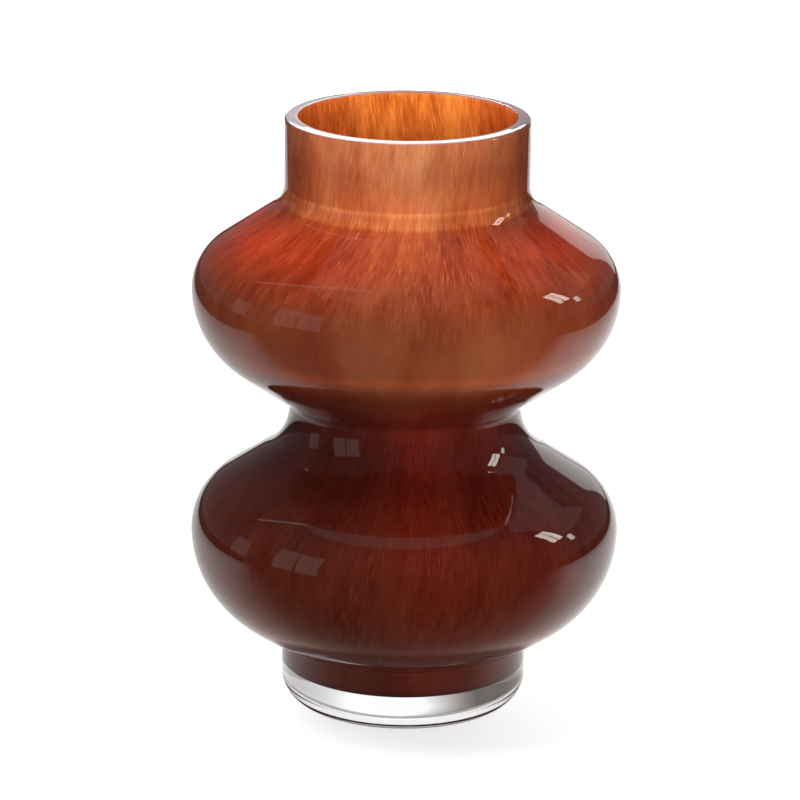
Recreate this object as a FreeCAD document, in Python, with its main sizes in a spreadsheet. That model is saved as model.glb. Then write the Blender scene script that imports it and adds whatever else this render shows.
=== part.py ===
import FreeCAD, Part
import math
import os
import Sketcher

# A gourd vase in cased glass: a coloured lining inside a clear casing, on a thick clear foot.
# Every piece is turned about the vertical axis. The origin is the centre of the resting face.
# Lengths are in millimetres and the two turns are in degrees.

SIZES = {
    # Diameters of the outside
    "foot_diameter": 101.8,
    "lower_bulb_diameter": 178.0,
    "waist_diameter": 96.0,
    "upper_bulb_diameter": 177.0,
    "neck_diameter": 101.0,
    # Heights, each measured from the level below it
    "foot_height": 27.2,
    "lower_shoulder_height": 53.0,
    "upper_belly_height": 50.0,
    "upper_shoulder_height": 43.5,
    "neck_height": 28.6,
    # Walls of the two layers
    "casing_thickness": 4.6,
    "lining_thickness": 0.8,
    # Rounds of the outside, as shares of the height or the radius that each belongs to
    "lower_belly_share": 0.5,
    "lower_shoulder_share": 0.48,
    "waist_lower_hollow_share": 0.44,
    "waist_upper_hollow_share": 0.06,
    "upper_belly_share": 0.78,
    "upper_shoulder_share": 0.5,
    "neck_hollow_share": 0.28,
    # The lower belly turns this far below its widest level before the flatter underside begins
    "underside_turn": 53.7,
    # The rounded end of the casing that sits in the foot
    "stub_diameter": 96.0,
    "stub_throat_radius": 2.0,
    "stub_corner_share": 0.5,
    "stub_floor_radius": 250.0,
    # The foot: glass below the stub, rounded heel, resting ring and shallow hollow underneath
    "foot_floor_thickness": 6.4,
    "heel_radius": 13.9,
    "heel_turn": 69.0,
    "ring_edge_radius": 3.0,
    "punt_diameter": 70.0,
    "punt_depth": 1.5,
    # The ground edge of the rim
    "rim_chamfer": 1.0,
}

SHEET = "Sizes"


def sized(name):
    """The expression that reads one value of the sheet."""
    return f"{SHEET}.{name}"


def half(name):
    return f"{sized(name)} / 2"


# Radii and levels of the outside, worked out from the sizes above
LOWER_BELLY_RADIUS = f"{half('lower_bulb_diameter')} * {sized('lower_belly_share')}"
LOWER_BELLY_CENTRE = f"({half('lower_bulb_diameter')} - {LOWER_BELLY_RADIUS})"
UNDERSIDE_RADIUS = (
    f"({LOWER_BELLY_RADIUS} + {LOWER_BELLY_CENTRE} / cos({sized('underside_turn')} * 1 deg))"
)
UNDERSIDE_CENTRE_ABOVE_BULB = f"({LOWER_BELLY_CENTRE} * tan({sized('underside_turn')} * 1 deg))"
UNDERSIDE_CENTRE_ABOVE_FOOT = f"sqrt({UNDERSIDE_RADIUS} ^ 2 - ({half('foot_diameter')}) ^ 2)"

LOWER_BULB_LEVEL = (
    f"({sized('foot_height')} + {UNDERSIDE_CENTRE_ABOVE_FOOT} - {UNDERSIDE_CENTRE_ABOVE_BULB})"
)
WAIST_LEVEL = f"({LOWER_BULB_LEVEL} + {sized('lower_shoulder_height')})"
UPPER_BULB_LEVEL = f"({WAIST_LEVEL} + {sized('upper_belly_height')})"
NECK_LEVEL = f"({UPPER_BULB_LEVEL} + {sized('upper_shoulder_height')})"
RIM_LEVEL = f"({NECK_LEVEL} + {sized('neck_height')})"

LOWER_SHOULDER_RADIUS = f"{sized('lower_shoulder_height')} * {sized('lower_shoulder_share')}"
WAIST_LOWER_HOLLOW_RADIUS = f"{sized('lower_shoulder_height')} * {sized('waist_lower_hollow_share')}"
WAIST_UPPER_HOLLOW_RADIUS = f"{sized('upper_belly_height')} * {sized('waist_upper_hollow_share')}"
UPPER_BELLY_RADIUS = f"{sized('upper_belly_height')} * {sized('upper_belly_share')}"
UPPER_SHOULDER_RADIUS = f"{sized('upper_shoulder_height')} * {sized('upper_shoulder_share')}"
NECK_HOLLOW_RADIUS = f"{sized('upper_shoulder_height')} * {sized('neck_hollow_share')}"

STUB_DEPTH = f"({sized('foot_height')} - {sized('foot_floor_thickness')})"
STUB_CORNER_RADIUS = f"{STUB_DEPTH} * {sized('stub_corner_share')}"

HEEL_SINE = f"sin({sized('heel_turn')} * 1 deg)"
HEEL_LEVEL = (
    f"({sized('heel_radius')} * {HEEL_SINE} + {sized('ring_edge_radius')} * (1 - {HEEL_SINE}))"
)

ORIGIN = (-1, 1)
FIRST, LAST, CENTRE = 1, 2, 3


def make_sheet(doc):
    """The spreadsheet of driving sizes, one named cell to a row."""
    sheet = doc.addObject("Spreadsheet::Sheet", SHEET)
    for row, (name, value) in enumerate(SIZES.items(), start=1):
        sheet.set(f"A{row}", name)
        sheet.set(f"B{row}", str(value))
        sheet.setAlias(f"B{row}", name)
    return sheet


def make_body(doc, name):
    """A body with its label and an empty sketch on its own XZ plane."""
    body = doc.addObject("PartDesign::Body", name)
    body.Label = name
    body.Placement = FreeCAD.Placement()
    sketch = body.newObject("Sketcher::SketchObject", f"{name}_outline")
    planes = [feature for feature in body.Origin.OriginFeatures if feature.Role == "XZ_Plane"]
    sketch.AttachmentSupport = [(planes[0], "")]
    sketch.MapMode = "FlatFace"
    return body, sketch


def revolve(body, sketch):
    """The sketch turned a full circle about the vertical axis."""
    turned = body.newObject("PartDesign::Revolution", f"{body.Name}_turned")
    turned.Profile = sketch
    turned.ReferenceAxis = (sketch, ["V_Axis"])
    turned.Angle = 360.0
    body.Tip = turned
    return turned


class Outline:
    """An outline of lines and arcs in a sketch, drawn from the rim down, each joined to the one before.

    Its surface has an outward normal, given as an angle above the horizontal. A full round has its
    centre inside the glass of a solid vase, and a hollow round has it outside.
    """

    def __init__(self, sketch, inset=""):
        self.sketch = sketch
        self.inset = inset
        self.start = None
        self.end = None

    def value(self, expression):
        return float(FreeCAD.Units.Quantity(self.sketch.evalExpression(expression)).Value)

    def bind(self, kind, *target, expression):
        """Adds a dimension to the sketch and binds it to the sheet."""
        index = self.sketch.addConstraint(
            Sketcher.Constraint(kind, *target, self.value(expression))
        )
        self.sketch.setExpression(f"Constraints[{index}]", expression)

    def place(self, point, across=None, up=None):
        """Holds a point, given as (geometry, end), at a distance across from the axis or up."""
        if across is not None:
            self.bind("DistanceX", *ORIGIN, *point, expression=across)
        if up is not None:
            self.bind("DistanceY", *ORIGIN, *point, expression=up)

    def join(self, first, smooth=True):
        """Joins the last piece's end to the next piece's first point, along its tangent if smooth."""
        if self.end is None:
            self.start = first
            return
        kind = "Tangent" if smooth else "Coincident"
        self.sketch.addConstraint(Sketcher.Constraint(kind, *self.end, *first))

    def line(self, start, stop, smooth=True):
        """A straight stretch between two points of the drawing. Returns its geometry number."""
        number = self.sketch.addGeometry(
            Part.LineSegment(FreeCAD.Vector(*start, 0), FreeCAD.Vector(*stop, 0))
        )
        self.join((number, FIRST), smooth)
        self.end = (number, LAST)
        return number

    def round(self, centre, radius, normals, hollow=False):
        """An arc between two outward normals, in degrees. Returns its geometry number."""
        inset = self.inset and f" {'+' if hollow else '-'} {self.inset}"
        radius = f"{radius}{inset}"
        circle = Part.Circle(
            FreeCAD.Vector(*centre, 0), FreeCAD.Vector(0, 0, 1), self.value(radius)
        )
        turned = math.pi if hollow else 0.0
        angles = sorted(math.radians(normal) + turned for normal in normals)
        number = self.sketch.addGeometry(Part.ArcOfCircle(circle, *angles))
        ends = (FIRST, LAST) if normals[1] > normals[0] else (LAST, FIRST)
        self.join((number, ends[0]))
        self.bind("Radius", number, expression=radius)
        self.end = (number, ends[1])
        return number


def inner_tangent(full, full_radius, hollow, hollow_radius, falling):
    """The normal, in degrees, of the straight line between a full round and a hollow one.

    falling is true where the line runs down and out from the hollow round to the full one.
    """
    across, up = hollow[0] - full[0], hollow[1] - full[1]
    distance = math.hypot(across, up)
    slant = math.degrees(math.atan2(up, across))
    opening = math.degrees(math.acos((full_radius + hollow_radius) / distance))
    return slant - opening if falling else slant + opening


def along(centre, radius, normal):
    """The point of a round at a normal in degrees; a hollow round's radius is given as negative."""
    angle = math.radians(normal)
    return centre[0] + radius * math.cos(angle), centre[1] + radius * math.sin(angle)


class Wall:
    """The vase's wall surface at one inset from the outside, with the places of its rounds."""

    def __init__(self, sketch, inset=""):
        self.outline = Outline(sketch, inset)
        self.inset = inset
        self.depth = self.outline.value(inset) if inset else 0.0

    def inner(self, radius):
        """A radius of the outside, moved in by this wall's inset."""
        return f"{radius} - {self.inset}" if self.inset else radius

    def full_centre(self, diameter, level, radius):
        """The centre of a full round, where the outside is widest at a level."""
        value = self.outline.value
        return value(half(diameter)) - value(radius), value(level)

    def hollow_centre(self, diameter, level, radius):
        """The centre of a hollow round, where the outside is narrowest at a level."""
        value = self.outline.value
        return value(half(diameter)) + value(radius), value(level)

    def place_rounds(self):
        """Works out the centres of the rounds and the normals of the straight slopes between them."""
        value = self.outline.value
        self.neck_hollow = self.hollow_centre("neck_diameter", NECK_LEVEL, NECK_HOLLOW_RADIUS)
        self.upper_shoulder = self.full_centre(
            "upper_bulb_diameter", UPPER_BULB_LEVEL, UPPER_SHOULDER_RADIUS
        )
        self.upper_belly = self.full_centre(
            "upper_bulb_diameter", UPPER_BULB_LEVEL, UPPER_BELLY_RADIUS
        )
        self.waist_above = self.hollow_centre(
            "waist_diameter", WAIST_LEVEL, WAIST_UPPER_HOLLOW_RADIUS
        )
        self.waist_below = self.hollow_centre(
            "waist_diameter", WAIST_LEVEL, WAIST_LOWER_HOLLOW_RADIUS
        )
        self.lower_shoulder = self.full_centre(
            "lower_bulb_diameter", LOWER_BULB_LEVEL, LOWER_SHOULDER_RADIUS
        )
        self.lower_belly = self.full_centre(
            "lower_bulb_diameter", LOWER_BULB_LEVEL, LOWER_BELLY_RADIUS
        )
        self.neck_slope = inner_tangent(
            self.upper_shoulder,
            value(UPPER_SHOULDER_RADIUS),
            self.neck_hollow,
            value(NECK_HOLLOW_RADIUS),
            falling=True,
        )
        self.slope_above = inner_tangent(
            self.upper_belly,
            value(UPPER_BELLY_RADIUS),
            self.waist_above,
            value(WAIST_UPPER_HOLLOW_RADIUS),
            falling=False,
        )
        self.slope_below = inner_tangent(
            self.lower_shoulder,
            value(LOWER_SHOULDER_RADIUS),
            self.waist_below,
            value(WAIST_LOWER_HOLLOW_RADIUS),
            falling=True,
        )

    def on_full(self, centre, radius, normal):
        """The point of this wall on a full round of the outside, at a normal."""
        return along(centre, self.outline.value(radius) - self.depth, normal)

    def on_hollow(self, centre, radius, normal):
        """The point of this wall on a hollow round of the outside, at a normal."""
        return along(centre, -self.outline.value(radius) - self.depth, normal)

    def draw_neck(self, top):
        """The straight neck, from a level given as an expression, and its hollow on the shoulder."""
        draw = self.outline
        wall = draw.value(half("neck_diameter")) - self.depth
        straight = draw.line((wall, draw.value(top)), (wall, draw.value(NECK_LEVEL)))
        draw.sketch.addConstraint(Sketcher.Constraint("Vertical", straight))
        draw.place(draw.start, across=self.inner(half("neck_diameter")), up=top)
        arc = draw.round(self.neck_hollow, NECK_HOLLOW_RADIUS, (0.0, self.neck_slope), hollow=True)
        draw.place((arc, CENTRE), up=NECK_LEVEL)
        draw.line(
            self.on_hollow(self.neck_hollow, NECK_HOLLOW_RADIUS, self.neck_slope),
            self.on_full(self.upper_shoulder, UPPER_SHOULDER_RADIUS, self.neck_slope),
        )

    def draw_bulb(self, diameter, level, shoulder, belly, slopes):
        """A bulb's shoulder and belly, each a centre and a radius, which meet at its widest level."""
        draw = self.outline
        arc = draw.round(*shoulder, (slopes[0], 0.0))
        draw.place((arc, CENTRE), up=level)
        draw.place(draw.end, across=self.inner(half(diameter)), up=level)
        draw.round(*belly, (0.0, slopes[1]))

    def draw_waist(self):
        """The straight slope into the waist, its two hollow arcs, and the slope out of it."""
        draw = self.outline
        draw.line(
            self.on_full(self.upper_belly, UPPER_BELLY_RADIUS, self.slope_above),
            self.on_hollow(self.waist_above, WAIST_UPPER_HOLLOW_RADIUS, self.slope_above),
        )
        arc = draw.round(
            self.waist_above, WAIST_UPPER_HOLLOW_RADIUS, (self.slope_above, 0.0), hollow=True
        )
        draw.place((arc, CENTRE), up=WAIST_LEVEL)
        draw.place(draw.end, across=self.inner(half("waist_diameter")), up=WAIST_LEVEL)
        draw.round(
            self.waist_below, WAIST_LOWER_HOLLOW_RADIUS, (0.0, self.slope_below), hollow=True
        )
        draw.line(
            self.on_hollow(self.waist_below, WAIST_LOWER_HOLLOW_RADIUS, self.slope_below),
            self.on_full(self.lower_shoulder, LOWER_SHOULDER_RADIUS, self.slope_below),
        )

    def draw_end(self, start=None):
        """The bulb's underside and the rounded end that sits in the foot, down to the axis.

        start is the normal where the underside begins, if it doesn't follow on from the belly.
        """
        draw, value = self.outline, self.outline.value
        turn = -value(sized("underside_turn"))
        underside_radius = value(UNDERSIDE_RADIUS)
        underside = (0.0, value(LOWER_BULB_LEVEL) + value(UNDERSIDE_CENTRE_ABOVE_BULB))
        throat_radius = value(sized("stub_throat_radius"))
        stub = value(half("stub_diameter"))
        throat_across = stub + throat_radius
        throat_drop = math.sqrt((underside_radius + throat_radius) ** 2 - throat_across**2)
        throat = (throat_across, underside[1] - throat_drop)
        meet = -math.degrees(math.atan2(throat_drop, throat_across))
        arc = draw.round(underside, UNDERSIDE_RADIUS, (turn if start is None else start, meet))
        draw.place((arc, CENTRE), across="0")
        draw.round(throat, sized("stub_throat_radius"), (meet, 0.0), hollow=True)

        corner_radius = value(STUB_CORNER_RADIUS)
        floor_radius = value(sized("stub_floor_radius"))
        floor = (0.0, value(sized("foot_floor_thickness")) + floor_radius)
        corner_across = stub - corner_radius
        corner_drop = math.sqrt((floor_radius - corner_radius) ** 2 - corner_across**2)
        corner = (corner_across, floor[1] - corner_drop)
        turn_in = -math.degrees(math.atan2(corner_drop, corner_across))
        side = draw.line((stub - self.depth, throat[1]), (stub - self.depth, corner[1]))
        draw.sketch.addConstraint(Sketcher.Constraint("Vertical", side))
        draw.place((side, FIRST), across=self.inner(half("stub_diameter")))
        draw.round(corner, STUB_CORNER_RADIUS, (0.0, turn_in))
        arc = draw.round(floor, sized("stub_floor_radius"), (turn_in, -90.0))
        draw.place((arc, CENTRE), across="0")
        lowest = sized("foot_floor_thickness")
        draw.place(draw.end, across="0", up=f"{lowest} + {self.inset}" if self.inset else lowest)

    def draw_whole(self, top):
        """The wall from a level at the rim down to the axis."""
        self.place_rounds()
        self.draw_neck(top)
        self.draw_bulb(
            "upper_bulb_diameter",
            UPPER_BULB_LEVEL,
            (self.upper_shoulder, UPPER_SHOULDER_RADIUS),
            (self.upper_belly, UPPER_BELLY_RADIUS),
            (self.neck_slope, self.slope_above),
        )
        self.draw_waist()
        self.draw_bulb(
            "lower_bulb_diameter",
            LOWER_BULB_LEVEL,
            (self.lower_shoulder, LOWER_SHOULDER_RADIUS),
            (self.lower_belly, LOWER_BELLY_RADIUS),
            (self.slope_below, -self.outline.value(sized("underside_turn"))),
        )
        self.draw_end()


def close_between(sketch, start, stop):
    """A straight edge between two points of the sketch, given as (geometry, end)."""
    line = sketch.addGeometry(
        Part.LineSegment(sketch.getPoint(*start), sketch.getPoint(*stop))
    )
    sketch.addConstraint(Sketcher.Constraint("Coincident", line, FIRST, *start))
    sketch.addConstraint(Sketcher.Constraint("Coincident", line, LAST, *stop))


def make_casing(doc):
    """The clear outer layer, from the chamfered rim to the rounded end in the foot."""
    body, sketch = make_body(doc, "outer_casing")
    outside = Wall(sketch)
    outside.draw_whole(f"{RIM_LEVEL} - {sized('rim_chamfer')}")
    inside = Wall(sketch, sized("casing_thickness"))
    inside.draw_whole(RIM_LEVEL)
    close_between(sketch, outside.outline.end, inside.outline.end)
    draw = outside.outline
    chamfer_top = (
        draw.value(half("neck_diameter")) - draw.value(sized("rim_chamfer")),
        draw.value(RIM_LEVEL),
    )
    inner_edge = inside.outline.start
    rim = sketch.addGeometry(
        Part.LineSegment(sketch.getPoint(*inner_edge), FreeCAD.Vector(*chamfer_top, 0))
    )
    sketch.addConstraint(Sketcher.Constraint("Coincident", rim, FIRST, *inner_edge))
    sketch.addConstraint(Sketcher.Constraint("Horizontal", rim))
    draw.place((rim, LAST), across=f"{half('neck_diameter')} - {sized('rim_chamfer')}")
    close_between(sketch, (rim, LAST), draw.start)
    revolve(body, sketch)
    return body


def make_lining(doc):
    """The thin coloured layer against the casing's inner face."""
    body, sketch = make_body(doc, "colour_lining")
    outside = Wall(sketch, sized("casing_thickness"))
    outside.draw_whole(RIM_LEVEL)
    inside = Wall(sketch, f"({sized('casing_thickness')} + {sized('lining_thickness')})")
    inside.draw_whole(RIM_LEVEL)
    close_between(sketch, outside.outline.end, inside.outline.end)
    close_between(sketch, inside.outline.start, outside.outline.start)
    revolve(body, sketch)
    return body


def make_foot(doc):
    """The clear base: a dished top that fits the casing's end, a rounded heel and a shallow punt."""
    body, sketch = make_body(doc, "foot")
    dish = Wall(sketch)
    draw, value = dish.outline, dish.outline.value
    radius = value(half("foot_diameter"))
    seam = -math.degrees(math.atan2(value(UNDERSIDE_CENTRE_ABOVE_FOOT), radius))
    dish.draw_end(start=seam)
    bottom_of_dish = draw.end

    heel, edge = value(sized("heel_radius")), value(sized("ring_edge_radius"))
    turn = -value(sized("heel_turn"))
    heel_centre = (radius - heel, value(HEEL_LEVEL))
    edge_centre = along(heel_centre, heel - edge, turn)
    draw.end = draw.start
    side = draw.line(
        (radius, value(sized("foot_height"))), (radius, heel_centre[1]), smooth=False
    )
    sketch.addConstraint(Sketcher.Constraint("Vertical", side))
    draw.place((side, FIRST), across=half("foot_diameter"), up=sized("foot_height"))
    arc = draw.round(heel_centre, sized("heel_radius"), (0.0, turn))
    draw.place((arc, CENTRE), up=HEEL_LEVEL)
    draw.round(edge_centre, sized("ring_edge_radius"), (turn, -90.0))
    punt = value(half("punt_diameter"))
    ring = draw.line((edge_centre[0], 0.0), (punt, 0.0))
    sketch.addConstraint(Sketcher.Constraint("Horizontal", ring))
    draw.place((ring, LAST), across=half("punt_diameter"), up="0")

    depth = value(sized("punt_depth"))
    dome_radius = (punt**2 + depth**2) / (2 * depth)
    dome_edge = math.asin(punt / dome_radius)
    circle = Part.Circle(
        FreeCAD.Vector(0, depth - dome_radius, 0), FreeCAD.Vector(0, 0, 1), dome_radius
    )
    quarter = math.pi / 2
    dome = sketch.addGeometry(Part.ArcOfCircle(circle, quarter - dome_edge, quarter))
    sketch.addConstraint(Sketcher.Constraint("Coincident", dome, FIRST, ring, LAST))
    draw.place((dome, CENTRE), across="0")
    draw.place((dome, LAST), across="0", up=sized("punt_depth"))
    close_between(sketch, (dome, LAST), bottom_of_dish)
    revolve(body, sketch)
    return body


def check(doc, bodies):
    """Stops with a message if any feature failed or any piece isn't one sound solid."""
    for feature in doc.Objects:
        if "Invalid" in feature.State or "Error" in feature.State:
            raise RuntimeError(f"{feature.Label} failed: {feature.State}")
    for body in bodies:
        shape = body.Shape
        if shape.isNull() or not shape.isValid() or len(shape.Solids) != 1:
            raise RuntimeError(f"{body.Label} isn't one sound solid")
        print(body.Label, "volume", round(shape.Volume), "box", shape.BoundBox)


def main():
    doc = FreeCAD.newDocument("gourd_vase")
    make_sheet(doc)
    doc.recompute()
    bodies = [make_casing(doc), make_lining(doc), make_foot(doc)]
    doc.recompute()
    check(doc, bodies)
    os.makedirs("parts", exist_ok=True)
    for body in bodies:
        body.Shape.exportStep(f"parts/{body.Label}.step")


main()
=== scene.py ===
import math

import bmesh
import bpy
import numpy as np
from mathutils import Matrix, Vector

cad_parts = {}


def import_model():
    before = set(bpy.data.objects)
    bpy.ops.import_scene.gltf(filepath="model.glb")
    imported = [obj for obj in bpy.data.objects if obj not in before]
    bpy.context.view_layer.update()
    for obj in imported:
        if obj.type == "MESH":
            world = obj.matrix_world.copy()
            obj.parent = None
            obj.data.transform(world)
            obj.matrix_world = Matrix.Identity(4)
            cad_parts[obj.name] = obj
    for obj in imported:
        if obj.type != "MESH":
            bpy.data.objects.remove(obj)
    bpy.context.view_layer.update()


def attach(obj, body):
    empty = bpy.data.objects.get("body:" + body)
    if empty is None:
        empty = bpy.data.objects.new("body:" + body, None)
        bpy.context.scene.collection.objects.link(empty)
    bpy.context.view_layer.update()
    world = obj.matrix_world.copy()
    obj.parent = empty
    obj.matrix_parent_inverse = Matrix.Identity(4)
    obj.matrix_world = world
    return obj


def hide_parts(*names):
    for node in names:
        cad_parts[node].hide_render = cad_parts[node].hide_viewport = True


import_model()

MM = 0.001

# Sizes of the vase in millimetres, the same as in the part's source: radii, heights and the rounds between
NECK, UPPER, WAIST, LOWER, FOOT = 50.5, 88.5, 48.0, 89.0, 50.9
RIM_Z, NECK_Z, UPPER_Z, WAIST_Z, LOWER_Z = 250.0, 221.4, 177.9, 127.9, 74.9
NECK_HOLLOW, UPPER_SHOULDER, UPPER_BELLY = 12.18, 21.75, 39.0
WAIST_UPPER_HOLLOW, WAIST_LOWER_HOLLOW = 3.0, 23.32
LOWER_SHOULDER, LOWER_BELLY = 25.44, 44.5
UNDERSIDE_TURN, UNDERSIDE, UNDERSIDE_Z = -53.7, 119.67, 135.49
# The bubble's rounded end in the foot, and the foot
STUB, STUB_THROAT, STUB_CORNER, STUB_FLOOR, STUB_FLOOR_Z = 48.0, 2.0, 10.3, 250.0, 256.4
HEEL, HEEL_TURN, RING_EDGE, PUNT, PUNT_DEPTH = 13.9, -69.0, 3.0, 35.0, 1.5
RING_OUT = PUNT + 6.0
# Small edges: the seam above the foot, and the rim with its eased corners
SEAM_FILLET, CHAMFER, RIM_FALL = 0.9, 0.9, 0.35
MOUTH_EASE, MOUTH_ROUND, PUNT_EASE, PUNT_ROUND, DOME_EASE = 0.25, 0.07, 0.25, 0.02, 1.0
BEFORE_CORNER, PAST_CORNER, AFTER_CORNER = 0.08, 0.06, 0.10
NECK_TOP = RIM_Z - RIM_FALL - CHAMFER
OUTSIDE_TOP, HOLLOW_TOP, LINING_TOP = NECK_TOP - 1.0, RIM_Z - 0.6, RIM_Z - 0.35
# How deep the hollow and the two faces of the coloured layer lie under the outside
WALL, LINING_OUT, LINING_IN = 5.4, 4.7, 5.2

# How finely the pieces are drawn: facets around, and steps along their outlines in millimetres and degrees
AROUND, ARC_STEP, HEEL_STEP, RING_STEP, ARC_TURN = 160, 1.3, 0.8, 0.4, 6
GLASS_STEP, LINING_STEP, SAME_POINT, PUNT_POINTS = 1.6, 2.0, 0.02, 24
ON_AXIS = 1e-6

# The unevenness of hand-blown glass: how much the radius shrinks, how near the axis and the table it fades
# out, and its waves, each with its number around, its rise with height, its phase and its share
UNEVENNESS, FADE = 0.0036, 30.0
WAVES = ((2, 0.021, 0.6, 0.55), (3, -0.047, 2.1, 0.25), (5, 0.083, 4.0, 0.20))


def arc(centre, radius, start, stop, step=ARC_STEP):
    """Points of a round between two outward normals in degrees. A hollow round has a negative radius."""
    count = int(abs(radius * math.radians(stop - start)) / step) + 2
    count = max(3, count, int(abs(stop - start) / ARC_TURN) + 2)
    turns = np.radians(np.linspace(start, stop, count))
    return [(centre[0] + radius * math.cos(turn), centre[1] + radius * math.sin(turn)) for turn in turns]


def slope(bulb, bulb_radius, hollow, hollow_radius, falling):
    """The normal of the straight stretch between a bulb's round and a hollow one."""
    across, up = hollow[0] - bulb[0], hollow[1] - bulb[1]
    slant = math.degrees(math.atan2(up, across))
    opening = math.degrees(math.acos((bulb_radius + hollow_radius) / math.hypot(across, up)))
    return slant - opening if falling else slant + opening


def wall(depth, top, foot_radius=STUB, throat_radius=STUB_THROAT):
    """The wall's surface at one depth, from the rim to where it turns down towards the foot."""
    neck = (NECK + NECK_HOLLOW, NECK_Z)
    shoulder = (UPPER - UPPER_SHOULDER, UPPER_Z)
    belly = (UPPER - UPPER_BELLY, UPPER_Z)
    above = (WAIST + WAIST_UPPER_HOLLOW, WAIST_Z)
    below = (WAIST + WAIST_LOWER_HOLLOW, WAIST_Z)
    low_shoulder = (LOWER - LOWER_SHOULDER, LOWER_Z)
    low_belly = (LOWER - LOWER_BELLY, LOWER_Z)
    first = slope(shoulder, UPPER_SHOULDER, neck, NECK_HOLLOW, True)
    second = slope(belly, UPPER_BELLY, above, WAIST_UPPER_HOLLOW, False)
    third = slope(low_shoulder, LOWER_SHOULDER, below, WAIST_LOWER_HOLLOW, True)
    reach = foot_radius + throat_radius
    drop = math.sqrt((UNDERSIDE + throat_radius) ** 2 - reach**2)
    last = -math.degrees(math.atan2(drop, reach))
    points = [(NECK - depth, top)]
    points += arc(neck, -NECK_HOLLOW - depth, 0, first)
    points += arc(shoulder, UPPER_SHOULDER - depth, first, 0)
    points += arc(belly, UPPER_BELLY - depth, 0, second)
    points += arc(above, -WAIST_UPPER_HOLLOW - depth, second, 0)
    points += arc(below, -WAIST_LOWER_HOLLOW - depth, 0, third)
    points += arc(low_shoulder, LOWER_SHOULDER - depth, third, 0)
    points += arc(low_belly, LOWER_BELLY - depth, 0, UNDERSIDE_TURN)
    points += arc((0, UNDERSIDE_Z), UNDERSIDE - depth, UNDERSIDE_TURN, last)
    points += arc((reach, UNDERSIDE_Z - drop), -throat_radius - depth, last, 0)
    return points


def bubble(depth, top):
    """A face of the bubble at one depth, from the rim to the axis at its rounded end inside the foot."""
    across = STUB - STUB_CORNER
    drop = math.sqrt((STUB_FLOOR - STUB_CORNER) ** 2 - across**2)
    corner = (across, STUB_FLOOR_Z - drop)
    turn = -math.degrees(math.atan2(drop, across))
    points = wall(depth, top) + arc(corner, STUB_CORNER - depth, 0, turn)
    points += arc((0, STUB_FLOOR_Z), STUB_FLOOR - depth, turn, -90)
    return points[:-1] + [(0.0, points[-1][1])]


def rim():
    """The eased rim from the mouth to the outside. Its ring falls a little outwards."""
    mouth, edge, ring = NECK - WALL, NECK - CHAMFER, RIM_Z - RIM_FALL
    return [
        (mouth, RIM_Z - MOUTH_EASE),
        (mouth + MOUTH_ROUND, RIM_Z - MOUTH_ROUND),
        (mouth + MOUTH_EASE, RIM_Z),
        (edge - BEFORE_CORNER, ring),
        (edge + PAST_CORNER, ring - PAST_CORNER),
        (NECK - PAST_CORNER, NECK_TOP + PAST_CORNER),
        (NECK, NECK_TOP - AFTER_CORNER),
    ]


def heel_and_punt():
    """The heel, the ring that the vase stands on and the hollow underneath, down to the axis."""
    sine, cosine = math.sin(math.radians(-HEEL_TURN)), math.cos(math.radians(HEEL_TURN))
    heel = (FOOT - HEEL, HEEL * sine + RING_EDGE * (1 - sine))
    edge = (heel[0] + (HEEL - RING_EDGE) * cosine, RING_EDGE)
    points = arc(heel, HEEL, 0, HEEL_TURN, HEEL_STEP) + arc(edge, RING_EDGE, HEEL_TURN, -90, RING_STEP)
    points += [(PUNT + PUNT_EASE, 0.0), (PUNT, 0.0), (PUNT - PUNT_EASE, PUNT_ROUND)]
    dome = (PUNT**2 + PUNT_DEPTH**2) / (2 * PUNT_DEPTH)
    radii = np.linspace(PUNT - DOME_EASE, 0, PUNT_POINTS)
    return points + [(r, PUNT_DEPTH - dome + math.sqrt(dome**2 - r * r)) for r in radii]


def spaced(points, longest):
    """Drops repeated points and cuts long straight stretches into short ones."""
    made = [points[0]]
    for r, z in points[1:]:
        last_r, last_z = made[-1]
        gap = math.hypot(r - last_r, z - last_z)
        if gap < SAME_POINT:
            continue
        pieces = int(gap / longest) + 1
        for share in [k / pieces for k in range(1, pieces)]:
            made.append((last_r + (r - last_r) * share, last_z + (z - last_z) * share))
        made.append((r, z))
    return made


def uneven(points):
    """Points in millimetres, (n, 3), drawn in a little where hand-blown glass is uneven."""
    x, y, z = points.T
    turn = np.arctan2(y, x)
    wave = 0.0
    for count, rise, phase, share in WAVES:
        wave = wave + share * (1 + np.sin(count * turn + z * rise + phase)) / 2
    fade = np.clip(np.hypot(x, y) / FADE, 0, 1) * np.clip(z / FADE, 0, 1)
    shrink = 1 - UNEVENNESS * wave * fade
    return np.stack([x * shrink, y * shrink, z], 1)


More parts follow.
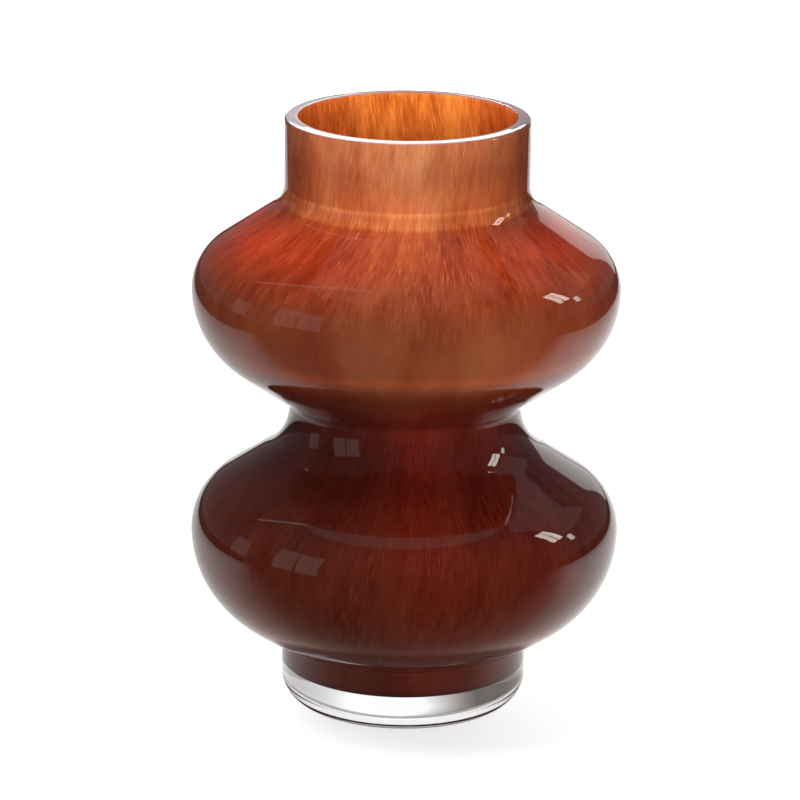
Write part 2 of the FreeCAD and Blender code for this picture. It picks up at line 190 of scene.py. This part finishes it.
def lathe(name, points):
    """A piece turned from a list of (radius, height), with a pole where the radius is zero."""
    verts, rings = [], []
    for r, z in points:
        count = 1 if r < ON_AXIS else AROUND
        rings.append(range(len(verts), len(verts) + count))
        turns = [2 * math.pi * k / AROUND for k in range(count)]
        verts += [(r * math.cos(turn), r * math.sin(turn), z) for turn in turns]
    pairs = [pair for pair in zip(rings, rings[1:]) if len(pair[0]) + len(pair[1]) > 2]
    if len(rings[0]) > 1 and len(rings[-1]) > 1:
        pairs.append((rings[-1], rings[0]))
    faces = []
    for first, second in pairs:
        for k in range(AROUND):
            course = ((first, k), (first, k + 1), (second, k + 1), (second, k))
            corners = [ring[place % len(ring)] for ring, place in course]
            faces.append(list(dict.fromkeys(corners)))
    mesh = bpy.data.meshes.new(name)
    mesh.from_pydata([tuple(place) for place in uneven(np.array(verts)) * MM], [], faces)
    solid = bmesh.new()
    solid.from_mesh(mesh)
    bmesh.ops.recalc_face_normals(solid, faces=solid.faces)
    solid.to_mesh(mesh)
    solid.free()
    mesh.shade_smooth()
    piece = bpy.data.objects.new(name, mesh)
    bpy.context.scene.collection.objects.link(piece)
    return piece


class Tree:
    """The nodes of a material or the world, with short ways to add to them."""

    # The colour mix node repeats its sockets' names, so they go by number
    SHARE, FIRST, SECOND, BLENDED = 0, 6, 7, 2

    def __init__(self, owner):
        owner.use_nodes = True
        self.owner = owner
        self.tree = owner.node_tree
        self.tree.nodes.clear()

    def add(self, kind, settings=None, **inputs):
        node = self.tree.nodes.new(kind)
        for key, value in (settings or {}).items():
            setattr(node, key, value)
        for key, value in inputs.items():
            self.put(node.inputs[key.replace("_", " ")], value)
        return node

    def put(self, socket, value):
        """Links a socket, or sets it to a number or a colour."""
        if isinstance(value, bpy.types.NodeSocket):
            self.tree.links.new(value, socket)
        else:
            socket.default_value = (*value, 1) if isinstance(value, tuple) else value

    def place(self):
        """The point's x, y and z in the object's own frame, in millimetres."""
        metres = self.add("ShaderNodeTexCoord").outputs["Object"]
        scaled = self.add("ShaderNodeVectorMath", {"operation": "SCALE"}, Vector=metres, Scale=1 / MM)
        return self.add("ShaderNodeSeparateXYZ", Vector=scaled.outputs[0]).outputs

    def stored(self, name):
        return self.add("ShaderNodeAttribute", {"attribute_name": name}).outputs["Fac"]

    def path(self):
        return self.add("ShaderNodeLightPath").outputs

    def math(self, operation, first, second=0.0):
        node = self.add("ShaderNodeMath", {"operation": operation})
        self.put(node.inputs[0], first)
        self.put(node.inputs[1], second)
        return node.outputs[0]

    def times(self, first, second):
        return self.math("MULTIPLY", first, second)

    def plus(self, first, second):
        return self.math("ADD", first, second)

    def larger(self, first, second):
        return self.math("MAXIMUM", first, second)

    def below(self, value, limit):
        return self.math("LESS_THAN", value, limit)

    def above(self, value, limit):
        return self.math("GREATER_THAN", value, limit)

    def length(self, x, y):
        return self.math("SQRT", self.plus(self.times(x, x), self.times(y, y)))

    def spread(self, value, low, high, first=0.0, last=1.0):
        """The value moved from one range to another, and held inside it."""
        node = self.add("ShaderNodeMapRange", Value=value)
        for socket, number in zip(node.inputs[1:5], (low, high, first, last)):
            socket.default_value = number
        return node.outputs[0]

    def ramp(self, value, low, high, stops):
        """The colour for a value between low and high. Each stop is a value with its colour."""
        node = self.add("ShaderNodeValToRGB", Fac=self.spread(value, low, high))
        band = node.color_ramp.elements
        places = [(at - low) / (high - low) for at, _ in stops]
        band[0].position, band[1].position = places[0], places[-1]
        for place in places[1:-1]:
            band.new(place)
        for element, (_, colour) in zip(band, stops):
            element.color = (*colour, 1)
        return node.outputs["Color"]

    def blend(self, share, first, second, mode="MIX"):
        node = self.add("ShaderNodeMix", {"data_type": "RGBA", "blend_type": mode})
        self.put(node.inputs[self.SHARE], share)
        self.put(node.inputs[self.FIRST], first)
        self.put(node.inputs[self.SECOND], second)
        return node.outputs[self.BLENDED]

    def tint(self, colour, tone):
        return self.blend(1.0, colour, tone, "MULTIPLY")

    def bsdf(self, kind, colour):
        return self.add("ShaderNodeBsdf" + kind, Color=colour).outputs[0]

    def emission(self, colour, strength=1.0):
        return self.add("ShaderNodeEmission", Color=colour, Strength=strength).outputs[0]

    def join(self, kind, *parts):
        """A node that joins its parts, which are fed in order."""
        node = self.add(kind)
        for socket, part in zip(node.inputs, parts):
            self.put(socket, part)
        return node.outputs[0]

    def mix(self, share, first, second):
        return self.join("ShaderNodeMixShader", share, first, second)

    def end(self, surface, kind="ShaderNodeOutputMaterial"):
        """Feeds the output, and gives back the material or world."""
        self.add(kind, Surface=surface)
        return self.owner


# Clear glass. Under the foot it is ground, and rays that leave it through the heel go straight on.
CLEAR, GROUND, OPEN_WAY = (0.985, 0.985, 0.98), (0.95, 0.95, 0.96), (0.97, 0.97, 0.97)
GLASS_IOR, GROUND_ROUGHNESS, GROUND_SHARE, HEEL_SHARE = 1.5, 0.35, 0.95, 0.95
GROUND_TOP, HEEL_TOP = PUNT_DEPTH + 0.2, 4.8
# The small mark under the foot where the rod was broken off: its middle and half sizes in millimetres, and
# how it fades out at its edge
MARK, MARK_X, MARK_Y, MARK_WIDTH, MARK_HEIGHT = (0.30, 0.25, 0.28), -15.0, 4.5, 2.2, 1.0
MARK_EDGE = (0.5, 1.4, 1.0, 0.0)
# The satin rim's tones from left to right, painted light and shade from pale at the left to dark at the
# right, and its share, then where its far side is, with the painted darker, browner tone there and its
# share
RIM_LIGHT_AND_SHADE = (
    (-NECK, (0.74, 0.80, 0.88)),
    (-0.6 * NECK, (0.50, 0.52, 0.56)),
    (0.6 * NECK, (0.34, 0.36, 0.40)),
    (NECK, (0.12, 0.14, 0.18)),
)
RIM_SHARE, FAR_RIM, FAR_RIM_PAINTED_TONE, FAR_RIM_SHARE = 0.5, (36.0, 48.0), (0.26, 0.12, 0.09), 0.8
# The worn lowest edge around the ring
WORN_TOP, WORN_TONE, WORN_SHARE = 2.6, (0.75, 0.73, 0.74), 0.6


def clear_glass():
    """Clear glass that lets the lamps through to the coloured layer."""
    tree = Tree(bpy.data.materials.new("clear_glass"))
    x, y, z = tree.place()
    reach = tree.length(x, y)
    ground = tree.times(tree.below(z, GROUND_TOP), tree.below(reach, RING_OUT))
    from_inside = tree.add("ShaderNodeNewGeometry").outputs["Backfacing"]
    heel = tree.times(tree.below(z, HEEL_TOP), from_inside)
    ground = tree.larger(ground, tree.times(heel, HEEL_SHARE))
    glass = tree.add(
        "ShaderNodeBsdfPrincipled",
        Base_Color=CLEAR,
        Roughness=tree.times(ground, GROUND_ROUGHNESS),
        IOR=GLASS_IOR,
        Transmission_Weight=1.0,
    )

    across = tree.math("DIVIDE", tree.math("SUBTRACT", x, MARK_X), MARK_WIDTH)
    along = tree.math("DIVIDE", tree.math("SUBTRACT", y, MARK_Y), MARK_HEIGHT)
    mark = tree.plus(tree.times(across, across), tree.times(along, along))
    matt = tree.bsdf("Transparent", tree.blend(tree.spread(mark, *MARK_EDGE), GROUND, MARK))
    whole = tree.mix(tree.times(ground, GROUND_SHARE), glass.outputs[0], matt)

    # The satin rim's colour is painted light and shade: pale at the left, dark at the right, darker and
    # browner at its far side
    tone = tree.blend(tree.spread(y, *FAR_RIM), tree.ramp(x, -NECK, NECK, RIM_LIGHT_AND_SHADE), FAR_RIM_PAINTED_TONE)
    share = tree.times(tree.above(z, HOLLOW_TOP), tree.spread(y, *FAR_RIM, RIM_SHARE, FAR_RIM_SHARE))
    whole = tree.mix(share, whole, tree.bsdf("Diffuse", tone))
    worn = tree.times(tree.below(z, WORN_TOP), tree.above(reach, RING_OUT))
    whole = tree.mix(tree.times(worn, WORN_SHARE), whole, tree.bsdf("Diffuse", WORN_TONE))

    path = tree.path()
    share = tree.larger(path["Is Shadow Ray"], path["Is Diffuse Ray"])
    return tree.end(tree.mix(share, whole, tree.bsdf("Transparent", OPEN_WAY)))


# The coloured layer from its foot to its rim: heights in millimetres with the colour of its outside. It is
# bright at the neck and deep towards the foot, partly its own colour and partly painted light, and the
# bright bands at 159 mm and at 219.4 mm are painted glow
BODY_WITH_PAINTED_GLOW = (
    (12, (0.070, 0.0115, 0.0062)),
    (50, (0.098, 0.0150, 0.0065)),
    (66, (0.104, 0.0125, 0.0048)),
    (80, (0.114, 0.0130, 0.0052)),
    (96, (0.116, 0.0108, 0.0047)),
    (106, (0.094, 0.0085, 0.0045)),
    (118, (0.104, 0.0096, 0.0052)),
    (132, (0.134, 0.0158, 0.0090)),
    (142, (0.180, 0.0235, 0.0115)),
    (152, (0.195, 0.0340, 0.0135)),
    (156.5, (0.290, 0.0600, 0.0230)),
    (159, (0.440, 0.0850, 0.0280)),
    (162, (0.320, 0.0700, 0.0270)),
    (173, (0.300, 0.0680, 0.0270)),
    (184, (0.285, 0.0580, 0.0230)),
    (193, (0.370, 0.0580, 0.0155)),
    (200, (0.475, 0.0700, 0.0165)),
    (212, (0.500, 0.0840, 0.0220)),
    (213.4, (0.650, 0.1700, 0.0560)),
    (218.2, (0.620, 0.1680, 0.0580)),
    (219.4, (0.800, 0.2650, 0.0850)),
    (220.6, (0.610, 0.1650, 0.0580)),
    (226, (0.570, 0.1640, 0.0600)),
    (234, (0.490, 0.1500, 0.0600)),
    (250, (0.620, 0.2300, 0.1000)),
)
# The colour of its inside, bright at the neck partly by painted light, and its tint at the left and right,
# a painted shade that darkens and reddens the sides
WITHIN = (
    (12, (0.150, 0.016, 0.007)),
    (120, (0.300, 0.030, 0.012)),
    (160, (0.600, 0.090, 0.020)),
    (200, (0.900, 0.230, 0.036)),
    (250, (0.920, 0.250, 0.040)),
)
WITHIN_SIDES, WITHIN_SIDE_SHADE = (0.45, 0.95), (0.92, 0.62, 0.75)
# How strong its streaks are
STREAKS = (
    (12, 0.25),
    (40, 0.62),
    (70, 0.60),
    (105, 0.90),
    (130, 0.45),
    (150, 0.12),
    (174, 0.16),
    (184, 0.45),
    (194, 0.95),
    (212, 1.0),
    (222, 0.50),
    (250, 0.50),
)
# Painted light and shade from the left of the vase, -1, to its right, 1, from the lower bulb's underside up
# to the neck: tints that lighten or darken each side as light falls on it
UNDER_LIGHT_AND_SHADE = (
    (-1.0, (1.05, 1.0, 1.0)),
    (-0.45, (0.84, 1.0, 1.0)),
    (-0.15, (0.94, 1.0, 1.0)),
    (0.10, (1.12, 1.02, 1.0)),
    (0.45, (1.14, 1.05, 1.0)),
    (1.0, (1.05, 1.0, 1.0)),
)
LOWER_LIGHT_AND_SHADE = (
    (-1.0, (0.72, 0.85, 0.9)),
    (-0.45, (0.56, 0.8, 0.95)),
    (-0.15, (0.86, 0.95, 1.0)),
    (0.08, (1.30, 1.05, 1.0)),
    (0.40, (0.98, 0.96, 1.0)),
    (1.0, (1.0, 1.0, 1.0)),
)
BELLY_LIGHT_AND_SHADE = (
    (-1.0, (0.92, 0.78, 0.7)),
    (-0.75, (0.80, 0.66, 0.6)),
    (-0.45, (0.74, 0.74, 0.74)),
    (-0.2, (0.84, 0.94, 0.94)),
    (0.1, (0.94, 1.0, 1.0)),
    (0.3, (1.06, 1.12, 1.05)),
    (0.6, (1.02, 0.88, 0.76)),
    (1.0, (1.2, 0.82, 0.7)),
)
SHOULDER_LIGHT_AND_SHADE = (
    (-1.0, (1.4, 0.85, 0.72)),
    (-0.8, (1.2, 0.72, 0.62)),
    (-0.55, (1.0, 0.64, 0.6)),
    (-0.15, (1.02, 0.96, 0.94)),
    (0.2, (1.0, 1.0, 1.0)),
    (0.5, (0.98, 0.74, 0.6)),
    (0.8, (1.25, 0.78, 0.62)),
    (1.0, (1.5, 0.85, 0.7)),
)
NECK_LIGHT_AND_SHADE = (
    (-1.0, (0.72, 0.60, 0.55)),
    (-0.8, (0.92, 0.72, 0.66)),
    (-0.3, (1.02, 0.99, 0.96)),
    (0.2, (1.0, 1.0, 1.0)),
    (0.5, (0.93, 0.78, 0.68)),
    (0.9, (0.76, 0.56, 0.46)),
    (1.0, (0.7, 0.5, 0.4)),
)
# Between which heights each takes over from the one below
TAKEOVERS = (
    (68, 94, LOWER_LIGHT_AND_SHADE),
    (128, 150, BELLY_LIGHT_AND_SHADE),
    (184, 198, SHOULDER_LIGHT_AND_SHADE),
    (203, 212, NECK_LIGHT_AND_SHADE),
)
# Layers of streaks: steps of noise in a radian around and in a metre along, its detail and its roughness,
# then the range of the noise that is used and the range that this is brought to
FIBRES = ((78.0, 150.0, 3.0, 0.60), (0.32, 0.68, -1.0, 1.0))
BUNDLES = ((15.0, 62.0, 3.0, 0.60), (0.34, 0.66, -1.0, 1.0))
CLOUDS = ((3.6, 24.0, 3.0, 0.55), (0.34, 0.66, -1.0, 1.0))
HAIRS = ((88.0, 150.0, 1.0, 0.40), (0.55, 0.68, 0.0, 1.0))
PATCHES = ((7.0, 55.0, 2.0, 0.50), (0.42, 0.60, 0.15, 1.0))
STAINS = ((2.1, 26.0, 3.0, 0.60), (0.36, 0.64, 0.0, 1.0))
FIBRE_LIFT, BUNDLE_LIFT, CLOUD_LIFT, HAIR_SHARE = 0.16, 0.15, 0.15, 0.9
STAIN_TINT, HAIR_TINT = (0.96, 1.10, 1.10), (1.40, 2.1, 1.9)
# The streaks change green and blue more strongly than red
DEPTHS = (1.0, 1.9, 2.4)
# How far the streaks lean over on their way down, and the radius inside which they turn no faster
LEAN, LEAN_RADIUS = 0.12, 20.0
# How much of the light that it scatters goes through it, and how much passes straight
THROUGH, STRAIGHT = 0.32, 0.06


def coloured_glass():
    """The streaked orange-red layer, bright at the neck and deep towards the foot, partly its own colour
    and partly painted light, with painted light and shade by side.
    """
    tree = Tree(bpy.data.materials.new("coloured_glass"))
    x, y, z = tree.place()
    run, lean, inner = tree.stored("along"), tree.stored("lean"), tree.stored("inner")
    turn = tree.plus(tree.math("ARCTAN2", y, x), lean)

    def layer(noise, used):
        """Noise drawn out along the wall."""
        across, stretch, detail, roughness = noise
        ring = tree.add(
            "ShaderNodeCombineXYZ",
            X=tree.times(tree.math("COSINE", turn), across),
            Y=tree.times(tree.math("SINE", turn), across),
            Z=tree.times(run, stretch),
        ).outputs[0]
        made = tree.add("ShaderNodeTexNoise", Vector=ring, Scale=1.0, Detail=detail, Roughness=roughness)
        return tree.spread(made.outputs["Fac"], *used)

    # Painted light and shade: the colour is tinted lighter or darker by side
    side = tree.math("DIVIDE", x, tree.length(x, y))
    painted_light_and_shade = tree.ramp(side, -1.0, 1.0, UNDER_LIGHT_AND_SHADE)
    for low, high, sides in TAKEOVERS:
        painted_light_and_shade = tree.blend(tree.spread(z, low, high), painted_light_and_shade, tree.ramp(side, -1.0, 1.0, sides))
    # Colour by height, partly its own and partly painted glow, tinted by the painted light and shade by
    # side
    body = tree.tint(tree.ramp(z, 0.0, RIM_Z, BODY_WITH_PAINTED_GLOW), painted_light_and_shade)
    within = tree.ramp(z, 0.0, RIM_Z, WITHIN)
    # Painted shade: the inside darker and redder towards its left and right
    side_shade_share = tree.spread(tree.math("ABSOLUTE", side), *WITHIN_SIDES)
    within = tree.blend(side_shade_share, within, tree.tint(within, WITHIN_SIDE_SHADE))
    body = tree.blend(inner, body, within)
    strength = tree.ramp(z, 0.0, RIM_Z, [(level, (share, share, share)) for level, share in STREAKS])
    strength = tree.larger(strength, inner)

    lift = tree.plus(tree.times(layer(*FIBRES), FIBRE_LIFT), tree.times(layer(*BUNDLES), BUNDLE_LIFT))
    lift = tree.plus(tree.times(lift, strength), tree.times(layer(*CLOUDS), CLOUD_LIFT))
    factor = tree.plus(lift, 1.0)
    tone = tree.join("ShaderNodeCombineColor", *[tree.math("POWER", factor, depth) for depth in DEPTHS])
    body = tree.blend(layer(*STAINS), body, tree.tint(body, STAIN_TINT))
    hairs = tree.times(tree.times(layer(*HAIRS), layer(*PATCHES)), strength)
    colour = tree.blend(tree.times(hairs, HAIR_SHARE), tree.tint(body, tone), tree.tint(body, HAIR_TINT))

    scattered = tree.mix(THROUGH, tree.bsdf("Diffuse", colour), tree.bsdf("Translucent", colour))
    return tree.end(tree.mix(STRAIGHT, scattered, tree.bsdf("Transparent", colour)))


def store_courses(piece, points):
    """Stores at each point of the coloured bubble how far it is from the rim along the wall in metres, how
    far the streaks have leant over by there in radians, and whether it is on the inside face."""
    radii, levels = np.array(points).T
    steps = np.hypot(np.diff(radii), np.diff(levels))
    leant = LEAN * steps / np.maximum((radii[1:] + radii[:-1]) / 2, LEAN_RADIUS)
    run = np.concatenate([[0], np.cumsum(steps)]) * MM
    lean = np.concatenate([[0], np.cumsum(leant)])
    pole = int(np.flatnonzero(radii < ON_AXIS)[0])
    inside = np.arange(len(run)) > pole
    courses = {
        "along": np.where(inside, 2 * run[pole] - run, run),
        "lean": np.where(inside, 2 * lean[pole] - lean, lean),
        "inner": inside.astype(float),
    }
    copies = np.where(radii < ON_AXIS, 1, AROUND)
    for name, values in courses.items():
        course = piece.data.attributes.new(name, "FLOAT", "POINT")
        course.data.foreach_set("value", np.repeat(values, copies).astype(np.float32))


# Clear glass: the outside of the casing and the foot, and the surface of the hollow inside
outside = rim() + wall(0.0, OUTSIDE_TOP, FOOT, SEAM_FILLET) + heel_and_punt()
glass_line = spaced(outside[::-1], GLASS_STEP) + spaced(bubble(WALL, HOLLOW_TOP), GLASS_STEP)
glass = lathe("clear_vase", glass_line)
glass.data.materials.append(clear_glass())
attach(glass, "root")
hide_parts("outer_casing", "foot")

# Coloured bubble inside the glass
outer_face = spaced(bubble(LINING_OUT, LINING_TOP), LINING_STEP)
inner_face = spaced(bubble(LINING_IN, LINING_TOP), LINING_STEP)
lining_line = outer_face + inner_face[::-1]
lining = lathe("coloured_bubble", lining_line)
store_courses(lining, lining_line)
lining.data.materials.append(coloured_glass())
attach(lining, "root")
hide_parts("colour_lining")

# The table's colour and own glow, which render white together, and its tones in mirror images, which are a
# painted shadow and shade: from front to back, beside the vase by distance from its axis, and dimmer to the
# left and far out
TABLE, TABLE_GLOW, WHITE = (0.80, 0.80, 0.80), 0.50, (1.0, 1.0, 1.0)
MIRRORED_Y = (
    (-150, (0.05, 0.045, 0.045)),
    (-110, (0.10, 0.085, 0.085)),
    (-80, (0.24, 0.19, 0.18)),
    (-60, (0.50, 0.38, 0.35)),
    (-40, (0.88, 0.70, 0.64)),
    (-20, (1.10, 0.93, 0.87)),
    (0, (1.20, 1.06, 1.0)),
    (30, (1.25, 1.17, 1.13)),
    (80, (1.25, 1.22, 1.2)),
)
MIRRORED_NEAR_SHADOW = ((40, (0.10, 0.08, 0.08)), (58, (0.25, 0.22, 0.22)), (67.9, (1.0, 1.0, 1.0)))
FRONT, BACK, NEAR, CLEAR_OF_VASE = -150, 250, 40, 70
MIRRORED_X, MIRRORED_FAR = (-120, 100, 0.76, 1.0), (300, 520, 1.0, 0.55)
# Its tones through the foot, painted light and shade: bright in the middle and darker by the way out to the
# left and to the right, which gets longer towards the back, then a painted shadow in front of that, and the
# tone past the foot
UNDER_REACH, BACK_LENGTHENS, UNDER_STRENGTH = 30, 0.25, 1.1
UNDER_LEFT = (
    (0.0, (1.0, 1.0, 1.0)),
    (15.6, (1.0, 1.0, 1.0)),
    (17.1, (0.92, 0.92, 0.93)),
    (18.6, (0.78, 0.78, 0.79)),
    (20.4, (0.66, 0.66, 0.67)),
    (22.5, (0.54, 0.54, 0.55)),
    (26.4, (0.40, 0.39, 0.40)),
)
UNDER_RIGHT = (
    (0.0, (1.0, 1.0, 1.0)),
    (9.0, (1.0, 1.0, 1.0)),
    (11.4, (0.75, 0.74, 0.73)),
    (15.3, (0.40, 0.39, 0.38)),
    (18.6, (0.14, 0.13, 0.12)),
    (21.0, (0.02, 0.015, 0.015)),
    (30.0, (0.01, 0.01, 0.01)),
)
UNDER_FRONT, UNDER_FRONT_SHADOW, PAST_FOOT = (-11, -7), (0.10, 0.08, 0.08), (0.92, 0.92, 0.92)
# The floor past the table as it shows in mirror images, then where the table and the floor lie, in metres:
# from left to right, from front to back, and the height
FLOOR_MIRRORED = (0.06, 0.055, 0.055)
TABLE_PLACE, FLOOR_PLACE = (-0.51, 0.51, -0.14, 1.6, -0.0002), (-6, 6, -6, 6, -0.004)


def table_material():
    """Pale table that renders white and keeps the shadow of the vase. In reflections it shows a painted
    shadow:
    dim in front of the vase, where its shadow lies, and white behind it. Through the foot it shows painted
    light
    and shade: grey at both sides and dark in front."""
    tree = Tree(bpy.data.materials.new("pale_table"))
    path = tree.path()
    x, y, _ = tree.place()
    away, apart = tree.math("ABSOLUTE", x), tree.length(x, y)
    glow = tree.emission(WHITE, tree.times(path["Is Camera Ray"], TABLE_GLOW))
    plain = tree.join("ShaderNodeAddShader", tree.bsdf("Diffuse", TABLE), glow)

    # Painted shadow in mirror images: dim in front of and close around the vase, dimmer to the left and far
    # out
    near_shadow = tree.ramp(apart, NEAR, CLEAR_OF_VASE, MIRRORED_NEAR_SHADOW)
    tone = tree.tint(tree.ramp(y, FRONT, BACK, MIRRORED_Y), near_shadow)
    dim = tree.times(tree.spread(x, *MIRRORED_X), tree.spread(away, *MIRRORED_FAR))
    surface = tree.mix(path["Is Glossy Ray"], plain, tree.emission(tone, dim))

    # Painted light and shade through the foot: bright in the middle, grey to both sides and dark in front
    course = tree.plus(away, tree.times(tree.larger(y, 0.0), BACK_LENGTHENS))
    left, right = [tree.ramp(course, 0, UNDER_REACH, painted_light_and_shade) for painted_light_and_shade in (UNDER_LEFT, UNDER_RIGHT)]
    under = tree.blend(tree.above(x, 0.0), left, right)
    under = tree.blend(tree.spread(y, *UNDER_FRONT), UNDER_FRONT_SHADOW, under)
    under = tree.blend(tree.below(apart, FOOT), PAST_FOOT, under)
    return tree.end(tree.mix(path["Is Transmission Ray"], surface, tree.emission(under, UNDER_STRENGTH)))


def surround_material():
    """The floor past the table: white to the camera, dim in reflections."""
    tree = Tree(bpy.data.materials.new("floor_past_table"))
    dim, white = tree.emission(FLOOR_MIRRORED), tree.emission(WHITE)
    return tree.end(tree.mix(tree.path()["Is Camera Ray"], dim, white))


def glow_material(name, colour, strength):
    tree = Tree(bpy.data.materials.new(name))
    return tree.end(tree.emission(colour, strength))


def plane(name, corners, material, hidden_from=()):
    """A flat piece of the stage."""
    mesh = bpy.data.meshes.new(name)
    mesh.from_pydata(corners, [], [tuple(range(len(corners)))])
    mesh.materials.append(material)
    made = bpy.data.objects.new(name, mesh)
    bpy.context.scene.collection.objects.link(made)
    for kind in hidden_from:
        setattr(made, f"visible_{kind}", False)


def rectangle(low_x, high_x, low_y, high_y, z):
    return [(low_x, low_y, z), (high_x, low_y, z), (high_x, high_y, z), (low_x, high_y, z)]


plane("table", rectangle(*TABLE_PLACE), table_material())
plane("floor_past_table", rectangle(*FLOOR_PLACE), surround_material())

# The room in mirror images, by the sine of the height that a ray looks up to, on the camera's side of the
# vase and behind it. The backdrop is what shows through glass, from the camera's side to behind the vase.
CEILING, PLAIN, FRONT_TO_BEHIND = (0.33, 0.325, 0.325), (0.14, 0.137, 0.135), (-0.15, 0.15)
ROOM_FRONT = (
    (0.0, (0.05, 0.048, 0.048)),
    (0.40, (0.07, 0.068, 0.068)),
    (0.86, (0.08, 0.078, 0.078)),
    (0.885, CEILING),
    (1.0, CEILING),
)
ROOM_BEHIND = (
    (0.0, (0.17, 0.16, 0.165)),
    (0.35, (0.12, 0.115, 0.12)),
    (0.86, (0.08, 0.078, 0.078)),
    (0.885, CEILING),
    (1.0, CEILING),
)
BACKDROP = (
    (-1.0, (0.30, 0.30, 0.30)),
    (0.10, (0.42, 0.41, 0.42)),
    (0.52, (0.62, 0.61, 0.62)),
    (0.72, (1.0, 1.0, 1.0)),
)


def world():
    """White to the camera, a dim room in reflections and a pale backdrop to what shows through glass."""
    tree = Tree(bpy.data.worlds.new("studio"))
    path = tree.path()
    way = tree.add("ShaderNodeTexCoord").outputs["Generated"]
    _, y, z = tree.add("ShaderNodeSeparateXYZ", Vector=way).outputs
    front, behind = tree.ramp(z, 0.0, 1.0, ROOM_FRONT), tree.ramp(z, 0.0, 1.0, ROOM_BEHIND)
    room = tree.blend(tree.spread(y, *FRONT_TO_BEHIND), front, behind)
    colour = tree.blend(path["Is Glossy Ray"], PLAIN, room)
    colour = tree.blend(path["Is Transmission Ray"], colour, tree.ramp(y, -1.0, 1.0, BACKDROP))
    colour = tree.blend(path["Is Camera Ray"], colour, WHITE)
    light = tree.add("ShaderNodeBackground", Color=colour, Strength=1.0)
    return tree.end(light.outputs[0], "ShaderNodeOutputWorld")


bpy.context.scene.world = world()


def softbox(name, place, aim, size, power):
    """A lamp that lights the vase and doesn't show in it."""
    data = bpy.data.lights.new(name, "AREA")
    data.shape = "RECTANGLE"
    data.size, data.size_y = size
    data.energy = power
    lamp = bpy.data.objects.new(name, data)
    bpy.context.scene.collection.objects.link(lamp)
    lamp.location = place
    lamp.rotation_euler = (Vector(aim) - Vector(place)).to_track_quat("-Z", "Y").to_euler()
    lamp.visible_camera = False
    lamp.visible_glossy = False
    lamp.visible_transmission = False


softbox("overhead_softbox", (-0.55, -0.05, 1.3), (0, 0, 0.1), (0.9, 0.9), 11.0)
softbox("back_softbox", (0.2, 1.5, 0.7), (0, 0, 0.15), (1.6, 0.9), 20.0)
softbox("front_softbox", (0.16, -1.9, 0.55), (0, 0, 0.13), (0.8, 0.8), 46.0)

CARD_DISTANCE, CARD_MIDDLE = 2.5, Vector((0, 0, 0.13))
WINDOW, WARM_WINDOW, PALE_WINDOW = (1.0, 0.92, 0.82), (1.0, 0.88, 0.88), (1.0, 0.94, 0.86)


def card(name, azimuth, elevation, width, height, colour, strength):
    """A glowing card seen in reflections only. Its direction from the vase and its sizes are in degrees:
    azimuth 0 is towards the camera and 90 to the right."""
    round_by, up_by = math.radians(azimuth), math.radians(elevation)
    level = math.cos(up_by)
    way = Vector((math.sin(round_by) * level, -math.cos(round_by) * level, math.sin(up_by)))
    turn = (-way).to_track_quat("Z", "Y").to_matrix()
    across = turn @ Vector((1, 0, 0)) * CARD_DISTANCE * math.tan(math.radians(width / 2))
    tall = turn @ Vector((0, 1, 0)) * CARD_DISTANCE * math.tan(math.radians(height / 2))
    middle = CARD_MIDDLE + way * CARD_DISTANCE
    left, right = middle - across, middle + across
    corners = (left - tall, right - tall, right + tall, left + tall)
    hidden_from = ("camera", "diffuse", "transmission", "shadow")
    plane(name, [tuple(corner) for corner in corners], glow_material(name, colour, strength), hidden_from)


for k, azimuth in enumerate((94.4, 99.6), start=1):
    card(f"window_right_{k}", azimuth, 30, 3.8, 17, WINDOW, 9.0)
card("window_right_small", 105.5, 17, 4.0, 7, PALE_WINDOW, 6.0)
for k, azimuth in enumerate((-51.5, -66.0), start=1):
    card(f"window_left_{k}", azimuth, 5, 13, 44, WARM_WINDOW, 0.6)
card("window_left_far", -97, 0, 12, 34, WARM_WINDOW, 0.5)
card("window_edge_left", -118, 60, 3.0, 40, (1.0, 0.94, 0.92), 0.8)
card("backdrop_right", 168, 8, 28, 34, WHITE, 1.0)
card("panel_right", 122, 40, 30, 34, (1.0, 0.95, 0.96), 0.30)
card("rim_strip", 180, 28, 34, 16, (1.0, 0.95, 0.90), 12.0)

# Camera, fitted to the outline in the photograph: angles in degrees, places in metres
PITCH, ROLL, DISTANCE = math.radians(15.928), math.radians(0.537), 2.1547
AIM = Vector((-0.0022, 0, 0.12942))
LENS_PIXELS, PHOTO_PIXELS, SENSOR_MM = 5204.0, 800, 36
NEAREST, FARTHEST = 0.05, 30


def camera():
    data = bpy.data.cameras.new("camera")
    data.sensor_width = SENSOR_MM
    data.lens = LENS_PIXELS / PHOTO_PIXELS * SENSOR_MM
    data.clip_start, data.clip_end = NEAREST, FARTHEST
    made = bpy.data.objects.new("camera", data)
    bpy.context.scene.collection.objects.link(made)
    back = Vector((0, -math.cos(PITCH), math.sin(PITCH)))
    right = Vector((1, 0, 0))
    up = back.cross(right)
    turned_right = right * math.cos(ROLL) + up * math.sin(ROLL)
    turned_up = up * math.cos(ROLL) - right * math.sin(ROLL)
    turn = Matrix((turned_right, turned_up, back)).transposed().to_4x4()
    made.matrix_world = Matrix.Translation(AIM + back * DISTANCE) @ turn
    return made


bpy.context.scene.camera = camera()
bpy.context.scene.view_settings.view_transform = "Standard"
